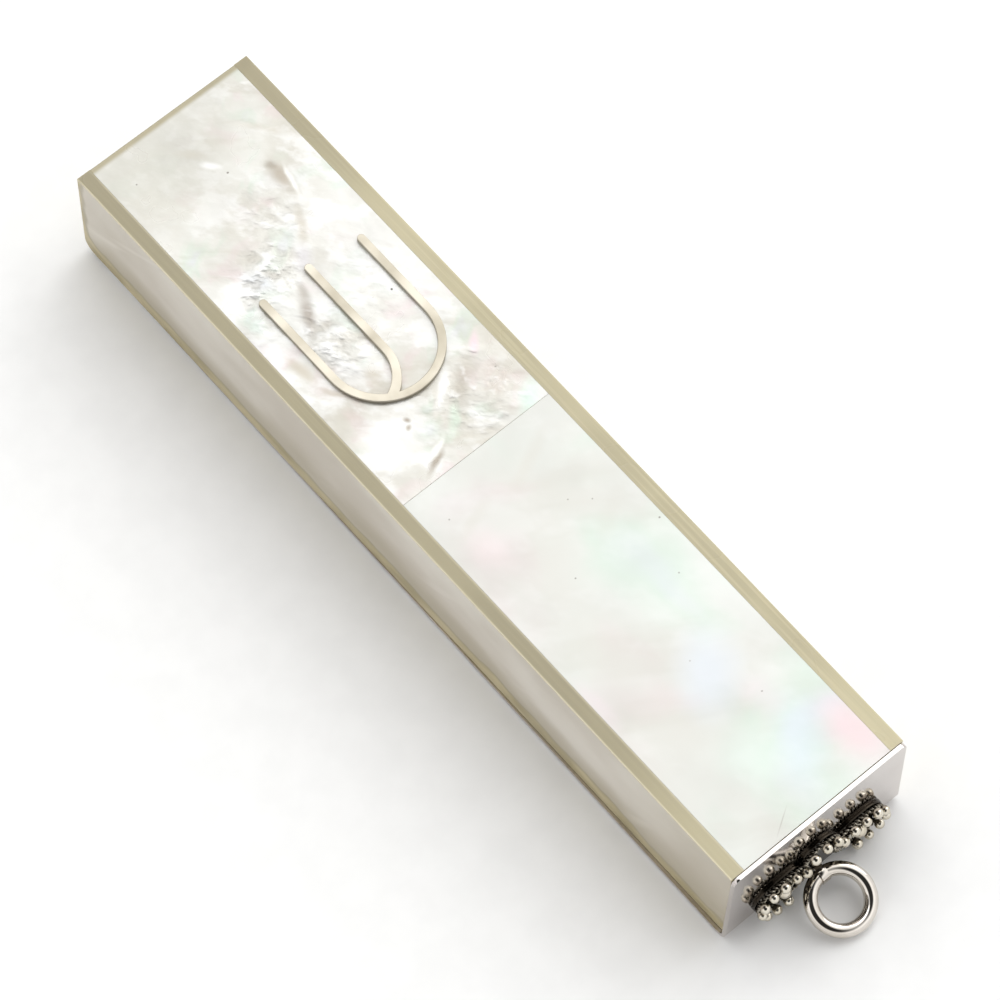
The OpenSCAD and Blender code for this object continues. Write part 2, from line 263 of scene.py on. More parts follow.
def pearl(name, look):
    material, tree, coords = newMaterial(name)
    # coordinates pushed to and fro, which frays the outline of whatever reads them
    wander = add(tree, "ShaderNodeTexNoise", {},
                 {"Vector": coords, "Scale": frayScale, "Detail": 3.0})
    push = add(tree, "ShaderNodeVectorMath", {"operation": "MULTIPLY_ADD"},
               {0: wander.outputs["Color"], 1: [look["fray"] * mm] * 3, 2: coords})
    frayed = add(tree, "ShaderNodeVectorMath", {"operation": "SUBTRACT"},
                 {0: push.outputs[0], 1: [look["fray"] * mm / 2] * 3}).outputs[0]
    milky = ranged(tree, cloud(tree, coords, look["cloudSize"], detail=4), 0.32, 0.68)
    colour = blendColours(tree, milky, look["cream"], look["white"])
    layers = cloud(tree, frayed, look["layerStep"], detail=3, stretch=(0.35, 2.2, 1),
                   turn=look["layerTurn"])
    colour = blendColours(tree, ranged(tree, layers, 0.52, 0.70, 0.0, look["layerAmount"]),
                          colour, look["layerColour"])
    hue = add(tree, "ShaderNodeValToRGB", {"ramp": look["tints"]},
              {"Fac": cloud(tree, frayed, look["tintSize"], detail=2, distortion=0.6)})
    colour = blendColours(tree, look["tintAmount"], colour, hue.outputs[0], "MULTIPLY")
    # white patches of painted sheen, standing in for the pearl's lustre
    sheenNoise = cloud(tree, frayed, look["paintedSheenSize"], detail=4, roughness=0.6,
                    stretch=(1.0, 1.7, 1), turn=40)
    colour = blendColours(tree, ranged(tree, sheenNoise, 0.47, 0.62, 0.0, look["paintedSheen"]),
                          colour, "#FFFFFF")
    for x, y, wide, long, turn, amount, tone in look["marks"]:
        outline = frayed if wide > frayedFrom else coords
        colour = blendColours(tree, patch(tree, outline, x, y, wide, long, turn, amount),
                              colour, tone)
    height = calc(tree, "MULTIPLY", cloud(tree, frayed, look["reliefSize"], detail=2),
                  look["relief"])
    if look["folds"]:
        wrinkles = cloud(tree, frayed, look["wrinkleSize"], detail=2.6, stretch=(1, 1.6, 1),
                         turn=look["wrinkleTurn"])
        area = look["wrinkleEverywhere"]
        for fold in look["folds"]:
            area = calc(tree, "ADD", area, patch(tree, coords, *fold))
        wrinkled = calc(tree, "MULTIPLY", wrinkles, area)
        height = calc(tree, "ADD", height,
                      calc(tree, "MULTIPLY", wrinkled, look["wrinkleDepth"]))
        # painted shade in the wrinkles' valleys and painted highlights on their ridges
        paintedValleyShade = calc(tree, "MULTIPLY", ranged(tree, wrinkles, 0.52, 0.34, 0.0, 0.55), area)
        colour = blendColours(tree, paintedValleyShade, colour, look["valleyShade"])
        paintedRidgeHighlights = calc(tree, "MULTIPLY", ranged(tree, wrinkles, 0.52, 0.66, 0.0, 0.8), area)
        colour = blendColours(tree, paintedRidgeHighlights, colour, "#FFFFFF")
    # a slab lets some light through, so it gives back less than paper does
    colour = blendColours(tree, 1.0, colour, look["body"], "MULTIPLY")
    # the far edge of the front, where the polish has worn through to the shell's skin
    along = add(tree, "ShaderNodeSeparateXYZ", {}, {0: coords}).outputs["Y"]
    worn = ranged(tree, along, topY - wornFrom * mm, topY - wornTo * mm, 0.0, 0.9)
    colour = blendColours(tree, worn, colour, slabEdgeLook["dark"])
    bump = add(tree, "ShaderNodeBump", {},
               {"Height": height, "Strength": 0.8, "Distance": 0.45 * mm})
    rough = ranged(tree, cloud(tree, coords, 3.0), 0.3, 0.7, *look["rough"])
    shade(tree, {"Base Color": colour, "Roughness": rough, "Metallic": look["metallic"],
                 "Normal": bump.outputs[0],
                 "Coat Weight": 1.0, "Coat Roughness": 0.05, "Coat IOR": 1.5})
    return material


def slabEdge(name, look):
    material, tree, coords = newMaterial(name)
    lines = cloud(tree, coords, look["lineWidth"], detail=3,
                  stretch=(1, look["lineLength"] / look["lineWidth"], 1))
    broad = cloud(tree, coords, look["broadSize"], detail=3, stretch=(1, 2.2, 1))
    colour = blendColours(tree, ranged(tree, broad, 0.35, 0.65), look["dark"], look["tone"])
    colour = blendColours(tree, ranged(tree, lines, 0.42, 0.72, 0.0, 0.45), colour, look["light"])
    axes = add(tree, "ShaderNodeSeparateXYZ", {}, {0: coords})
    # painted shade towards the left and the far end, painted light towards the right and the near
    # end
    for axis, start, full, amount, tone in look["paintedFades"]:
        paintedFade = ranged(tree, axes.outputs[axis], start * mm, full * mm, 0.0, amount)
        colour = blendColours(tree, paintedFade, colour, look[tone])
    # painted highlights: pale lines along the outer arris and along the joint with the panels,
    # stronger on the left
    across = calc(tree, "ABSOLUTE", axes.outputs["X"])
    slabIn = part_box("right_side_slab")[0].x
    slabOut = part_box("right_side_slab")[1].x
    onLeft = ranged(tree, axes.outputs["X"], 0.5 * slabIn, -0.5 * slabIn, 0.15, 1.0)
    edgeHighlight = ranged(tree, across, slabOut - look["arrisFrom"] * mm, slabOut - look["arrisTo"] * mm,
                   0.0, 0.6)
    jointHighlight = ranged(tree, across, slabIn + look["jointFrom"] * mm, slabIn + look["jointTo"] * mm,
                   0.0, 0.35)
    for line in (edgeHighlight, jointHighlight):
        colour = blendColours(tree, calc(tree, "MULTIPLY", line, onLeft), colour, look["edgeHighlight"])
    # the skin thickens into the far corners
    slope = calc(tree, "MULTIPLY", across, look["cornerSlope"])
    cornered = ranged(tree, calc(tree, "ADD", axes.outputs["Y"], slope),
                      topY - look["cornerFrom"] * mm, topY - look["cornerTo"] * mm, 0.0, 0.55)
    colour = blendColours(tree, cornered, colour, look["dark"])
    bump = add(tree, "ShaderNodeBump", {},
               {"Height": lines, "Strength": 0.3, "Distance": look["bump"] * mm})
    shade(tree, {"Base Color": colour, "Roughness": ranged(tree, broad, 0.3, 0.7, 0.26, 0.4),
                 "Normal": bump.outputs[0], "Subsurface Weight": 0.15,
                 "Subsurface Radius": (0.9 * mm, 0.8 * mm, 0.5 * mm), "Subsurface Scale": 1.0,
                 "Coat Weight": 0.6, "Coat Roughness": 0.08, "Coat IOR": 1.5})
    return material


# The broad face of a side slab: pearl turned to grey-beige, with slanting lighter streaks and a
# khaki border left by the shell's skin along the back edge and round the far corner
slabFaceLook = {
    "tone": "#C0B8AB", "pale": "#D2CCC1", "streak": "#E6E1D8", "shade": "#A89E88",
    # the rim tone is the colour of the painted highlight along the top edge
    "border": "#9C8F66", "tan": "#BBAE86", "line": "#8A7F5E", "rim": "#D6CCAE",
    "cloudSize": 6.0, "streakScale": 170.0, "streakLean": -32, "bump": 0.25,
    "endShades": [(-30, -48, 0.5), (36, 49, 0.35)],    # start and full in mm, and how strong
    "backShade": (8.5, 2.0, 0.75), "backShadeStray": 12.0,
    "backBand": 2.2, "farBand": 0.9, "corner": 2.0, "borderStray": 2.2, "borderMottle": 1.3,
    "rimFrom": 0.35, "rimTo": 0.05,
}


def slabFace(name, look, roundsFarEnd):
    material, tree, coords = newMaterial(name)
    low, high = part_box("left_side_slab")
    axes = add(tree, "ShaderNodeSeparateXYZ", {}, {0: coords})
    along, up = axes.outputs["Y"], axes.outputs["Z"]
    # streaks lean over in the plane of the slab
    leaning = add(tree, "ShaderNodeMapping", {"vector_type": "TEXTURE"},
                  {"Vector": coords, "Rotation": (math.radians(look["streakLean"]), 0, 0),
                   "Scale": (1, 5.0, 0.8)})
    streaks = add(tree, "ShaderNodeTexNoise", {},
                  {"Vector": leaning.outputs[0], "Scale": look["streakScale"], "Detail": 2.0,
                   "Distortion": 0.5}).outputs["Fac"]
    clouded = cloud(tree, coords, look["cloudSize"], detail=3, stretch=(1, 2, 1))
    colour = blendColours(tree, ranged(tree, clouded, 0.35, 0.65), look["tone"], look["pale"])
    colour = blendColours(tree, ranged(tree, streaks, 0.60, 0.72, 0.0, 0.7),
                          colour, look["streak"])
    for start, full, amount in look["endShades"]:
        colour = blendColours(tree, ranged(tree, along, start * mm, full * mm, 0.0, amount),
                              colour, look["shade"])
    stray = calc(tree, "MULTIPLY", calc(tree, "SUBTRACT", clouded, 0.5),
                 look["backShadeStray"] * mm)
    start, full, amount = look["backShade"]
    lowShade = ranged(tree, calc(tree, "ADD", up, stray), start * mm, full * mm, 0.0, amount)
    colour = blendColours(tree, lowShade, colour, look["shade"])
    # distance outside a rounded rectangle that leaves the border free
    farLine = high.y - (look["farBand"] + look["corner"]) * mm
    backLine = low.z + (look["backBand"] + look["corner"]) * mm
    beyond = calc(tree, "SUBTRACT", along, farLine) if roundsFarEnd else 0.0
    pastFar = calc(tree, "MAXIMUM", beyond)
    pastBack = calc(tree, "MAXIMUM", calc(tree, "SUBTRACT", backLine, up))
    squares = [calc(tree, "POWER", past, 2.0) for past in (pastFar, pastBack)]
    away = calc(tree, "SQRT", calc(tree, "ADD", *squares))
    wobble = calc(tree, "MULTIPLY", calc(tree, "SUBTRACT", cloud(tree, coords, 2.5), 0.5),
                  look["borderStray"] * mm)
    away = calc(tree, "ADD", away, wobble)
    mottled = ranged(tree, cloud(tree, coords, look["borderMottle"], detail=4,
                                 stretch=(1, 2.5, 1)), 0.36, 0.66)
    skin = blendColours(tree, mottled, look["border"], look["tan"])
    edge = look["corner"] * mm
    bordered = ranged(tree, away, edge - 0.35 * mm, edge + 0.55 * mm, 0.0, 0.9)
    colour = blendColours(tree, bordered, colour, skin)
    lineIn = ranged(tree, away, edge - 0.5 * mm, edge)
    lineOut = ranged(tree, away, edge + 0.5 * mm, edge)
    line = calc(tree, "MULTIPLY", calc(tree, "MULTIPLY", lineIn, lineOut), 0.5)
    colour = blendColours(tree, line, colour, look["line"])
    # a pale rim along the top edge: a painted highlight on its rounding
    rim = ranged(tree, up, high.z - look["rimFrom"] * mm, high.z - look["rimTo"] * mm, 0.0, 0.45)
    colour = blendColours(tree, rim, colour, look["rim"])
    bump = add(tree, "ShaderNodeBump", {},
               {"Height": streaks, "Strength": 0.4, "Distance": look["bump"] * mm})
    shade(tree, {"Base Color": colour, "Roughness": ranged(tree, streaks, 0.3, 0.7, 0.42, 0.52),
                 "Specular IOR Level": 0.35, "Normal": bump.outputs[0],
                 "Coat Weight": 0.25, "Coat Roughness": 0.1, "Coat IOR": 1.5})
    return material


figuredPearl = pearl("polishedFiguredMotherOfPearl", figuredLook)
plainPearl = pearl("polishedPlainMotherOfPearl", plainLook)
slabEdgeMaterial = slabEdge("polishedPearlShellEdge", slabEdgeLook)
slabFaceMaterial = slabFace("polishedPearlSlabFace", slabFaceLook, True)
endFaceMaterial = slabFace("polishedPearlEndFace", slabFaceLook, False)


def silver(name, look):
    # silver: base colour, a slow waviness from the hammer and fine polishing lines
    material, tree, coords = newMaterial(name)
    blotch = cloud(tree, coords, look["blotch"], detail=3)
    colour = blendColours(tree, ranged(tree, blotch, 0.35, 0.7), look["tone"], look["dull"])
    if "oxide" in look:
        # oxide stays in the recesses and is polished off whatever stands proud of the end face
        depth = add(tree, "ShaderNodeSeparateXYZ", {}, {0: coords}).outputs["Y"]
        stray = calc(tree, "SUBTRACT", cloud(tree, coords, look["oxideSpot"]), 0.5)
        worn = calc(tree, "ADD", depth,
                    calc(tree, "MULTIPLY", stray, look["oxideStray"] * mm))
        oxide = ranged(tree, worn, endY - look["brightBy"] * mm, endY - look["darkFrom"] * mm)
        colour = blendColours(tree, oxide, colour, look["oxide"])
    scratches = cloud(tree, coords, look["scratch"], detail=2, stretch=look["grain"])
    waves = cloud(tree, coords, look["waveSize"], detail=1)
    height = calc(tree, "ADD", calc(tree, "MULTIPLY", scratches, look["scratchDepth"]),
                  calc(tree, "MULTIPLY", waves, look["waveDepth"]))
    bump = add(tree, "ShaderNodeBump", {}, {"Height": height, "Strength": 1.0, "Distance": mm})
    rough = ranged(tree, blotch, 0.3, 0.7, look["rough"], look["rough"] * 1.6)
    shade(tree, {"Base Color": colour, "Metallic": 1.0, "Roughness": rough,
                 "Normal": bump.outputs[0]})
    return material


# Sheet silver, rolled and hand polished: a soft mirror with faint waves and hairline scratches
sheetSilver = silver("handPolishedSheetSilver", {
    "tone": "#CFC9C5", "dull": "#C3BCB8", "blotch": 6.0, "rough": 0.05, "scratch": 0.12,
    "grain": (1, 1, 14), "scratchDepth": 0.0008, "waveSize": 6.0, "waveDepth": 0.012})
# Granules and scroll wire: bright where worn, nearly black where the oxide was left
grainSilver = silver("oxidisedGranulatedSilver", {
    "tone": "#DCD6C8", "dull": "#C9C1B0", "blotch": 0.8, "rough": 0.14, "scratch": 0.15,
    "grain": (1, 1, 1), "scratchDepth": 0.006, "waveSize": 0.6, "waveDepth": 0.02,
    "oxide": "#38332C", "darkFrom": 0.35, "brightBy": 1.05, "oxideSpot": 0.5,
    "oxideStray": 0.35})
# Drawn silver wire, closed and buffed: a clear mirror with a slight waviness
ringSilver = silver("buffedRingSilver", {
    "tone": "#DED8D0", "dull": "#CFC8BE", "blotch": 2.0, "rough": 0.05, "scratch": 0.2,
    "grain": (1, 1, 1), "scratchDepth": 0.0002, "waveSize": 4.0, "waveDepth": 0.002})
# Letter cut from sheet, rubbed with fine paper: satin and a little warm
letterSilver = silver("satinLetterSilver", {
    "tone": "#C1BBAD", "dull": "#B9B2A1", "blotch": 2.5, "rough": 0.36, "scratch": 0.08,
    "grain": (1, 12, 1), "scratchDepth": 0.002, "waveSize": 4.0, "waveDepth": 0.002})
# Inside sheet silver, left from the rolls: dull, greyer, with faint rolling lines
linerSilver = silver("rolledLinerSilver", {
    "tone": "#B5AFAA", "dull": "#9B958F", "blotch": 5.0, "rough": 0.34, "scratch": 0.15,
    "grain": (1, 30, 1), "scratchDepth": 0.004, "waveSize": 8.0, "waveDepth": 0.02})
print("materials made")


def finished(name, mesh, materials, body, replaced, broadAxis=None):
    piece = bpy.data.objects.new(name, mesh)
    bpy.context.scene.collection.objects.link(piece)
    # a tree gives its mesh a material of its own, so the list is made afresh; that puts every
    # face back on the first material, and the sawn edges are told apart after it
    mesh.materials.clear()
    for material in materials:
        mesh.materials.append(material)
    if broadAxis is not None:
        # the sawn edges of a slab show the shell's section, its two broad faces the pearl
        for face in mesh.polygons:
            face.material_index = int(abs(face.normal[broadAxis]) < 0.8)
    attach(piece, body)
    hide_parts(replaced)


def evaluated(helper):
    # the helper's mesh with its modifiers applied; the helper itself goes
    graph = bpy.context.evaluated_depsgraph_get()
    mesh = bpy.data.meshes.new_from_object(helper.evaluated_get(graph), depsgraph=graph)
    helper.modifiers.clear()
    bpy.data.objects.remove(helper)
    return mesh


def eased(node, look):
    # the node's own shape with its loose triangles joined and its sharp edges rounded over;
    # an edge that meets a neighbour in a closed seam keeps only a hairline
    sharp = math.radians(30)
    bm = bmesh.new()
    bm.from_mesh(nodes[node].data)
    bmesh.ops.remove_doubles(bm, verts=bm.verts, dist=1e-6)
    bmesh.ops.dissolve_limit(bm, angle_limit=math.radians(0.4), verts=bm.verts, edges=bm.edges)
    weight = bm.edges.layers.float.new("bevel_weight_edge")
    seams = [Vector(way) for way in look.get("seams", [])]
    for edge in bm.edges:
        if len(edge.link_faces) == 2 and edge.calc_face_angle(0) > sharp:
            hidden = any(face.normal.dot(way) > 0.99 for face in edge.link_faces for way in seams)
            edge[weight] = look["seamEdge"] / look["edge"] if hidden else 1.0
    mesh = bpy.data.meshes.new(node)
    bm.to_mesh(mesh)
    bm.free()
    mesh.shade_smooth()
    helper = bpy.data.objects.new("helper", mesh)
    bpy.context.scene.collection.objects.link(helper)
    bevel = helper.modifiers.new("edges", "BEVEL")
    bevel.limit_method = "WEIGHT"
    bevel.width = look["edge"] * mm
    bevel.segments = look["steps"]
    normals = helper.modifiers.new("normals", "WEIGHTED_NORMAL")
    normals.keep_sharp = True
    normals.weight = 80
    return evaluated(helper)


# How far each piece's edges are rounded, in millimetres, and which of its faces lie in a seam
slabShape = {"edge": 0.16, "seamEdge": 0.035, "steps": 3}
topSlabShape = {**slabShape, "seams": [(1, 0, 0), (-1, 0, 0), (0, -1, 0)]}
panelShape = {"edge": 0.12, "seamEdge": 0.035, "steps": 2}
panelSeams = [(1, 0, 0), (-1, 0, 0), (0, 0, -1), (0, -1, 0)]
upperShape = {**panelShape, "seams": panelSeams}
lowerShape = {**panelShape, "seams": panelSeams + [(0, 1, 0)]}
letterShape = {"edge": 0.09, "seamEdge": 0.02, "steps": 3, "seams": [(0, 0, -1)]}
plateShape = {"edge": 0.05, "steps": 2}
baseShape = {"edge": 0.08, "seamEdge": 0.02, "steps": 2, "seams": [(0, 1, 0)]}
bailShape = {"edge": 0.10, "seamEdge": 0.03, "steps": 3, "seams": [(0, 1, 0)]}

for side, way in (("left", 1), ("right", -1)):
    node = side + "_side_slab"
    finished(side + "SideSlab", eased(node, {**slabShape, "seams": [(way, 0, 0), (0, -1, 0)]}),
             [slabFaceMaterial, slabEdgeMaterial], "shell", node, broadAxis=0)
finished("topEndSlab", eased("top_end_slab", topSlabShape),
         [endFaceMaterial, slabEdgeMaterial], "shell", "top_end_slab", broadAxis=1)
finished("upperFrontPanel", eased("upper_front_panel", upperShape),
         [figuredPearl, slabEdgeMaterial], "shell", "upper_front_panel",
         broadAxis=2)
finished("lowerFrontPanel", eased("lower_front_panel", lowerShape),
         [plainPearl, slabEdgeMaterial], "shell", "lower_front_panel",
         broadAxis=2)
finished("shinLetter", eased("shin_letter", letterShape),
         [letterSilver], "shell", "shin_letter")
finished("backAndEndPlate", eased("back_and_end_plate", plateShape),
         [sheetSilver], "back", "back_and_end_plate")
finished("ornamentBase", eased("ornament_base", baseShape),
         [grainSilver], "back", "ornament_base")
finished("ringBail", eased("ring_bail", bailShape),
         [ringSilver], "back", "ring_bail")
for node in ("liner", "left_guide", "right_guide", "left_runner", "right_runner"):
    nodes[node].material_slots[0].material = linerSilver
print("slabs, panels, letter and sheet made")


def newTree(name, fields):
    # a Geometry Nodes tree with a geometry input and the named inputs; returns it with the
    # sockets that they come in by and their identifiers
    tree = bpy.data.node_groups.new(name, "GeometryNodeTree")
    tree.interface.new_socket("Geometry", in_out="INPUT", socket_type="NodeSocketGeometry")
    identifiers = {}
    for field, kind in fields.items():
        socket = tree.interface.new_socket(field, in_out="INPUT", socket_type="NodeSocket" + kind)
        identifiers[field] = socket.identifier
    tree.interface.new_socket("Geometry", in_out="OUTPUT", socket_type="NodeSocketGeometry")
    return tree, add(tree, "NodeGroupInput").outputs, identifiers


def closeTree(tree, geometry, material):
    real = add(tree, "GeometryNodeRealizeInstances", {}, {"Geometry": geometry})
    smooth = add(tree, "GeometryNodeSetShadeSmooth", {}, {"Geometry": real.outputs[0]})
    painted = add(tree, "GeometryNodeSetMaterial", {},
                  {"Geometry": smooth.outputs[0], "Material": material})
    add(tree, "NodeGroupOutput", {}, {"Geometry": painted.outputs[0]})


def grown(mesh, tree, identifiers, values):
    # what the tree makes from the mesh, as a plain mesh
    helper = bpy.data.objects.new("helper", mesh)
    bpy.context.scene.collection.objects.link(helper)
    modifier = helper.modifiers.new("tree", "NODES")
    modifier.node_group = tree
    for field, value in values.items():
        modifier[identifiers[field]] = value
    return evaluated(helper)


def polyline(chains):
    # one mesh of edges from closed or open chains of points in millimetres
    points, edges = [], []
    for chain, closed in chains:
        first = len(points)
        points += [Vector(point) * mm for point in chain]
        edges += [(first + i, first + i + 1) for i in range(len(chain) - 1)]
        if closed:
            edges.append((len(points) - 1, first))
    mesh = bpy.data.meshes.new("path")
    mesh.from_pydata(points, edges, [])
    return mesh


# Wire: a round section, or two strands twisted round each other, along a path
wireTree, wireIn, wireIds = newTree("wireAlongPath", {
    "Strand radius": "Float", "Strand offset": "Float", "Turns per metre": "Float",
    "Step": "Float", "Sides": "Int", "Two strands": "Bool", "Material": "Material"})
track = add(wireTree, "GeometryNodeMeshToCurve", {}, {"Mesh": wireIn["Geometry"]})
track = add(wireTree, "GeometryNodeResampleCurve", {"mode": "LENGTH"},
            {"Curve": track.outputs[0], "Length": wireIn["Step"]})
travelled = add(wireTree, "GeometryNodeSplineParameter")
wholeTurns = add(wireTree, "ShaderNodeMath", {"operation": "MULTIPLY"},
                 {0: travelled.outputs["Length"], 1: wireIn["Turns per metre"]})
twist = add(wireTree, "ShaderNodeMath", {"operation": "MULTIPLY"},
            {0: wholeTurns.outputs[0], 1: 2 * math.pi})
track = add(wireTree, "GeometryNodeSetCurveTilt", {},
            {"Curve": track.outputs[0], "Tilt": twist.outputs[0]})
section = add(wireTree, "GeometryNodeCurvePrimitiveCircle", {},
              {"Radius": wireIn["Strand radius"], "Resolution": wireIn["Sides"]})
oneSide = add(wireTree, "ShaderNodeCombineXYZ", {}, {"X": wireIn["Strand offset"]})
otherSide = add(wireTree, "ShaderNodeVectorMath", {"operation": "SCALE"},
                {0: oneSide.outputs[0], "Scale": -1.0})
strands = add(wireTree, "GeometryNodeJoinGeometry")
for offset in (oneSide.outputs[0], otherSide.outputs[0]):
    moved = add(wireTree, "GeometryNodeTransform", {},
                {"Geometry": section.outputs[0], "Translation": offset})
    wireTree.links.new(moved.outputs[0], strands.inputs[0])
profile = add(wireTree, "GeometryNodeSwitch", {"input_type": "GEOMETRY"},
              {"Switch": wireIn["Two strands"], "False": section.outputs[0],
               "True": strands.outputs[0]})
drawn = add(wireTree, "GeometryNodeCurveToMesh", {},
            {"Curve": track.outputs[0], "Profile Curve": profile.outputs[0], "Fill Caps": True})
closeTree(wireTree, drawn.outputs[0], wireIn["Material"])

# Granules: one ball at each point, each a little different in size
grainTree, grainIn, grainIds = newTree("granulesOnPoints", {
    "Radius": "Float", "Smallest": "Float", "Largest": "Float", "Fineness": "Int",
    "Seed": "Int", "Material": "Material"})
ball = add(grainTree, "GeometryNodeMeshIcoSphere", {},
           {"Radius": grainIn["Radius"], "Subdivisions": grainIn["Fineness"]})
# inputs 2 and 3 are the lowest and highest number, output 1 the number
varied = add(grainTree, "FunctionNodeRandomValue", {"data_type": "FLOAT"},
             {2: grainIn["Smallest"], 3: grainIn["Largest"], "Seed": grainIn["Seed"]})
placed = add(grainTree, "GeometryNodeInstanceOnPoints", {},
             {"Points": grainIn["Geometry"], "Instance": ball.outputs[0],
              "Scale": varied.outputs[1]})
closeTree(grainTree, placed.outputs[0], grainIn["Material"])

# The ornament on the end: two long loops of twisted wire, a small coil in each, a half ring
# between them and granules along the wire; sizes in millimetres, angles in degrees
ornament = {
    "middle": 0.4, "wireY": 0.55, "granuleY": 1.2, "bossY": 0.8,
    "loopOut": 4.95, "loopZ": 3.2, "loopR": 2.35, "loopHalf": 0.85, "loopPoints": 90,
    "coilR": 1.25, "coilEnd": 344, "coilPoints": 43,
    "crestR": 2.2, "crestZ": 5.0, "crestArc": (4, 176), "crestPoints": 40,
    "crestSeats": (48, 90, 132),
    "granuleR": 0.55, "smallest": 0.92, "largest": 1.06, "bossR": 0.75,
    "count": 12, "empty": 3,
}
loopLength = 2 * math.pi * ornament["loopR"] + 4 * ornament["loopHalf"]
# two strands of drawn wire, which touch as they turn round each other
twisted = {"radius": 0.135, "offset": 0.135, "turns": 1 / 0.95, "step": 0.05, "sides": 10}


def loopPoint(distance, radius, half):
    # place at a distance along a long loop, from the middle of its inner end
    quarter, straight = math.pi * radius / 2, 2 * half
    turned = distance / radius
    if distance < quarter:
        return -half - radius * math.cos(turned), radius * math.sin(turned)
    if distance < quarter + straight:
        return distance - quarter - half, radius
    turned = (distance - quarter - straight) / radius
    if distance < 3 * quarter + straight:
        return half + radius * math.sin(turned), radius * math.cos(turned)
    if distance < 3 * quarter + 2 * straight:
        return half - (distance - 3 * quarter - straight), -radius
    turned = (distance - 3 * quarter - 2 * straight) / radius
    return -half - radius * math.sin(turned), -radius * math.cos(turned)


def onEnd(x, z, out):
    # a point that stands out from the end face, in millimetres
    return x, endY / mm - out, z


def arc(middleX, middleZ, radius, start, stop, out, count):
    steps = [math.radians(start + (stop - start) * i / count) for i in range(count + 1)]
    return [onEnd(middleX + radius * math.cos(a), middleZ + radius * math.sin(a), out)
            for a in steps]


def wire(name, chains, replaced, look, material, body="back"):
    mesh = grown(polyline(chains), wireTree, wireIds, {
        "Strand radius": look["radius"] * mm, "Strand offset": look["offset"] * mm,
        "Turns per metre": look["turns"] / mm, "Step": look["step"] * mm, "Sides": look["sides"],
        "Two strands": look["offset"] > 0, "Material": material})
    finished(name, mesh, [material], body, replaced)


def granules(name, points, radius, replaced, seed, low, high, fineness=4):
    seats = bpy.data.meshes.new("points")
    seats.from_pydata([Vector(point) * mm for point in points], [], [])
    mesh = grown(seats, grainTree, grainIds, {
        "Radius": radius * mm, "Smallest": low, "Largest": high, "Fineness": fineness,
        "Seed": seed, "Material": grainSilver})
    finished(name, mesh, [grainSilver], "back", replaced)


o = ornament
for side, name in ((-1, "left"), (1, "right")):
    middleX = o["middle"] + side * o["loopOut"]
    loop = [loopPoint(loopLength * i / o["loopPoints"], o["loopR"], o["loopHalf"])
            for i in range(o["loopPoints"])]
    loop = [onEnd(middleX + side * x, o["loopZ"] + z, o["wireY"]) for x, z in loop]
    coil = arc(middleX, o["loopZ"], o["coilR"], 0, o["coilEnd"], o["wireY"], o["coilPoints"])
    wire(name + "ScrollWire", [(loop, True), (coil, True)], name + "_scroll_wire",
         twisted, grainSilver)
    seats = [loopPoint((i + 0.25) * loopLength / o["count"], o["loopR"], o["loopHalf"])
             for i in range(1, o["count"] - o["empty"] + 1)]
    seats = [onEnd(middleX + side * x, o["loopZ"] + z, o["granuleY"]) for x, z in seats]
    granules(name + "Granules", seats, o["granuleR"], name + "_granules", 5 + side,
             o["smallest"], o["largest"])
crestSeats = [onEnd(o["middle"] + o["crestR"] * math.cos(math.radians(a)),
                    o["crestZ"] + o["crestR"] * math.sin(math.radians(a)), o["granuleY"])
              for a in o["crestSeats"]]
granules("crestGranules", crestSeats, o["granuleR"], "crest_granules", 11,
         o["smallest"], o["largest"])
bossSeats = [onEnd(o["middle"] + side * o["loopOut"], o["loopZ"], o["bossY"])
             for side in (-1, 1)]
granules("scrollBosses", bossSeats, o["bossR"], "scroll_bosses", 2, 1.0, 1.0, fineness=5)
crest = arc(o["middle"], o["crestZ"], o["crestR"], *o["crestArc"], o["wireY"], o["crestPoints"])
wire("crestWire", [(crest, False)], "crest_wire", twisted, grainSilver)

# The hanging ring, a closed hoop of round wire that droops from its bail; sizes in millimetres
ring = {"x": -0.45, "y": -54.629, "z": 1.692, "radius": 3.08, "droop": 18.0, "points": 160}
ringWire = {"radius": 0.74, "offset": 0.0, "turns": 0.0, "step": 0.12, "sides": 48}
tilt = Matrix.Rotation(math.radians(ring["droop"]), 3, "X")
hoop = [Vector((ring["x"], ring["y"], ring["z"]))
        + tilt @ (ring["radius"] * Vector((math.cos(a), math.sin(a), 0)))
        for a in (2 * math.pi * i / ring["points"] for i in range(ring["points"]))]
wire("hangingRing", [(hoop, True)], "hanging_ring", ringWire, ringSilver, "ring")
print("ornament and ring made")

# Pale floor, matt white paper; half its side is in metres, its drop below the part in millimetres
floorLook = {"colour": "#F6F6F5", "fleck": "#F3F3F2", "fleckSize": 2.0, "half": 1.5,
             "drop": 0.06}
material, tree, coords = newMaterial("mattWhitePaper")
flecks = ranged(tree, cloud(tree, coords, floorLook["fleckSize"], detail=4), 0.3, 0.7)
shade(tree, {"Base Color": blendColours(tree, flecks, floorLook["fleck"], floorLook["colour"]),
             "Roughness": 0.7, "Specular IOR Level": 0.2})
half, drop = floorLook["half"], floorLook["drop"] * mm
mesh = bpy.data.meshes.new("floor")
mesh.from_pydata([(x * half, y * half, -drop) for x, y in ((-1, -1), (1, -1), (1, 1), (-1, 1))],
                 [], [(0, 1, 2, 3)])
mesh.materials.append(material)
floor = bpy.data.objects.new("floor", mesh)
bpy.context.scene.collection.objects.link(floor)

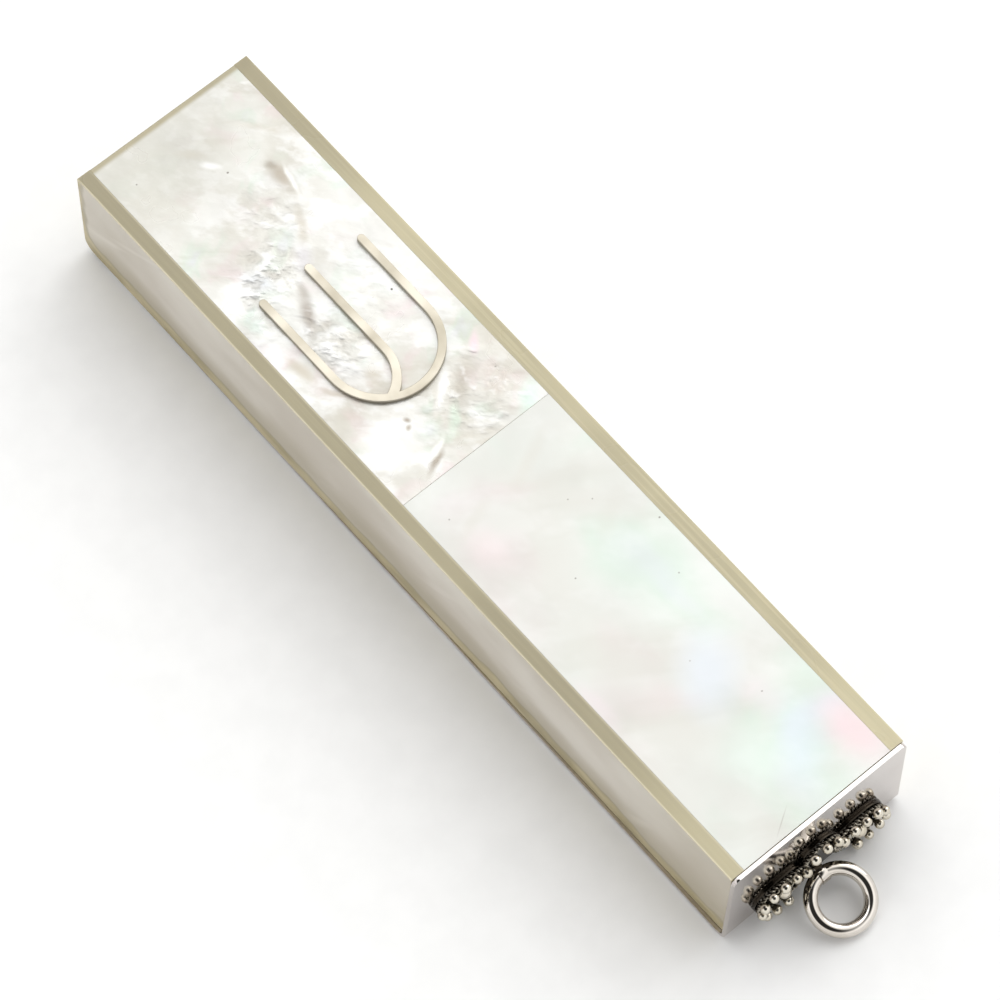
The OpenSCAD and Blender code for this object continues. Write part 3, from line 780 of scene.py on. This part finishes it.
# Camera: a long lens above the lower left of the case; angles in degrees
view = {"place": (-0.14291, -0.16167, 0.46841), "yaw": 41.99, "pitch": 65.07, "roll": 1.45,
        "lens": 183.1}
yaw, pitch, roll = (math.radians(view[k]) for k in ("yaw", "pitch", "roll"))
forward = Vector((math.sin(yaw) * math.cos(pitch), math.cos(yaw) * math.cos(pitch),
                  -math.sin(pitch)))
level = Vector((math.cos(yaw), -math.sin(yaw), 0))
upright = level.cross(forward)
right = math.cos(roll) * level + math.sin(roll) * upright
up = math.cos(roll) * upright - math.sin(roll) * level
cameraData = bpy.data.cameras.new("camera")
cameraData.sensor_width = 36
cameraData.lens = view["lens"]
cameraData.clip_start = 0.01
camera = bpy.data.objects.new("camera", cameraData)
bpy.context.scene.collection.objects.link(camera)
camera.matrix_world = (Matrix.Translation(view["place"])
                       @ Matrix((right, up, -forward)).transposed().to_4x4())
bpy.context.scene.camera = camera

# Lights: soft boxes that the camera doesn't see
lights = {
    "rightBox": {"from": (0.80, 0.12, 0.58), "away": 0.85, "size": 0.60, "power": 2.1},
    "overheadBox": {"from": (0.20, 0.34, 0.92), "away": 0.95, "size": 0.70, "power": 1.5},
}
aim = Vector((0, 0, 0.008))
for name, look in lights.items():
    data = bpy.data.lights.new(name, "AREA")
    data.shape = "SQUARE"
    data.size = look["size"]
    data.energy = look["power"]
    lamp = bpy.data.objects.new(name, data)
    bpy.context.scene.collection.objects.link(lamp)
    away = Vector(look["from"]).normalized()
    lamp.matrix_world = (Matrix.Translation(aim + away * look["away"])
                         @ away.to_track_quat("Z", "Y").to_matrix().to_4x4())
    lamp.visible_camera = False

# Surroundings: bright tent overhead, dimmer towards the horizon, and a dark opening round the
# lens; the opening's rim is the cosine of the angle off the lens, outer side first
tent = {"zenith": "#E6E6E6", "low": "#C4C4C4", "opening": "#262626", "rim": (0.74, 0.90),
        "strength": 1.76}
world = bpy.data.worlds.new("tent")
world.use_nodes = True
bpy.context.scene.world = world
tree = world.node_tree
tree.nodes.clear()
ways = add(tree, "ShaderNodeTexCoord").outputs["Generated"]
height = add(tree, "ShaderNodeSeparateXYZ", {}, {0: ways}).outputs["Z"]
glow = blendColours(tree, ranged(tree, height, 0.0, 0.8), tent["low"], tent["zenith"])
facing = add(tree, "ShaderNodeVectorMath", {"operation": "DOT_PRODUCT"},
             {0: ways, 1: Vector(view["place"]).normalized()}).outputs["Value"]
glow = blendColours(tree, ranged(tree, facing, *tent["rim"]), glow, tent["opening"])
sky = add(tree, "ShaderNodeBackground", {}, {"Color": glow, "Strength": tent["strength"]})
add(tree, "ShaderNodeOutputWorld", {}, {"Surface": sky.outputs[0]})
bpy.context.scene.view_settings.view_transform = "Standard"
print("floor, camera and lights made")
